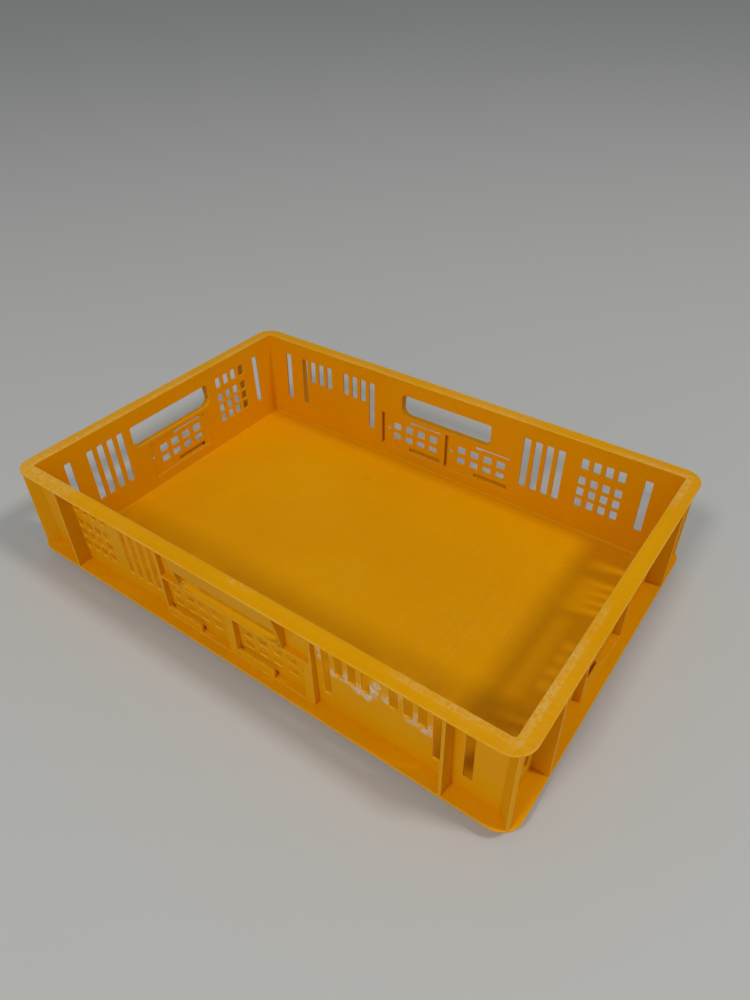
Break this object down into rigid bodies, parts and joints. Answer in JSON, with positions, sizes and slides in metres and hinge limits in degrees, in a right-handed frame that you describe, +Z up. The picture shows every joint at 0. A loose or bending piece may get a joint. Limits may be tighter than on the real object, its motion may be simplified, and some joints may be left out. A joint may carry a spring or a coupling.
{
  "type": "stackable perforated plastic crate",
  "caption": "Shallow rectangular stacking crate with slotted walls, four hand holds, label card windows and a flat closed floor.",
  "frame": {"origin": "centre of the underside, on the surface the crate stands on", "axes": "+X along the long side, +Y along the short side towards the back wall, +Z up"},
  "size_m": [0.6, 0.4, 0.12],
  "materials": {
    "crate_plastic": "satin moulded plastic with light scuffs"
  },
  "bodies": {
    "root": {"floor_panel": "crate_plastic", "wall_front": "crate_plastic", "rim_front": "crate_plastic", "flange_front": "crate_plastic", "wall_right": "crate_plastic", "rim_right": "crate_plastic", "flange_right": "crate_plastic", "wall_back": "crate_plastic", "rim_back": "crate_plastic", "flange_back": "crate_plastic", "wall_left": "crate_plastic", "rim_left": "crate_plastic", "flange_left": "crate_plastic", "corner_rib_front_right": "crate_plastic", "corner_rib_back_right": "crate_plastic", "corner_rib_back_left": "crate_plastic", "corner_rib_front_left": "crate_plastic", "side_rib_front_a": "crate_plastic", "side_rib_front_b": "crate_plastic", "card_rib_front_a": "crate_plastic", "card_rib_front_b": "crate_plastic", "card_divider_front": "crate_plastic", "card_ledge_front": "crate_plastic", "card_sill_front": "crate_plastic", "card_panel_front_a": "crate_plastic", "card_rail_front_a": "crate_plastic", "card_panel_front_b": "crate_plastic", "card_rail_front_b": "crate_plastic", "hand_grip_front": "crate_plastic", "side_rib_right_a": "crate_plastic", "side_rib_right_b": "crate_plastic", "card_rib_right_a": "crate_plastic", "card_rib_right_b": "crate_plastic", "card_ledge_right": "crate_plastic", "card_sill_right": "crate_plastic", "card_panel_right_a": "crate_plastic", "card_rail_right_a": "crate_plastic", "hand_grip_right": "crate_plastic", "side_rib_back_a": "crate_plastic", "side_rib_back_b": "crate_plastic", "card_rib_back_a": "crate_plastic", "card_rib_back_b": "crate_plastic", "card_divider_back": "crate_plastic", "card_ledge_back": "crate_plastic", "card_sill_back": "crate_plastic", "card_panel_back_a": "crate_plastic", "card_rail_back_a": "crate_plastic", "card_panel_back_b": "crate_plastic", "card_rail_back_b": "crate_plastic", "hand_grip_back": "crate_plastic", "side_rib_left_a": "crate_plastic", "side_rib_left_b": "crate_plastic", "card_rib_left_a": "crate_plastic", "card_rib_left_b": "crate_plastic", "card_ledge_left": "crate_plastic", "card_sill_left": "crate_plastic", "card_panel_left_a": "crate_plastic", "card_rail_left_a": "crate_plastic", "hand_grip_left": "crate_plastic"}
  },
  "joints": []
}
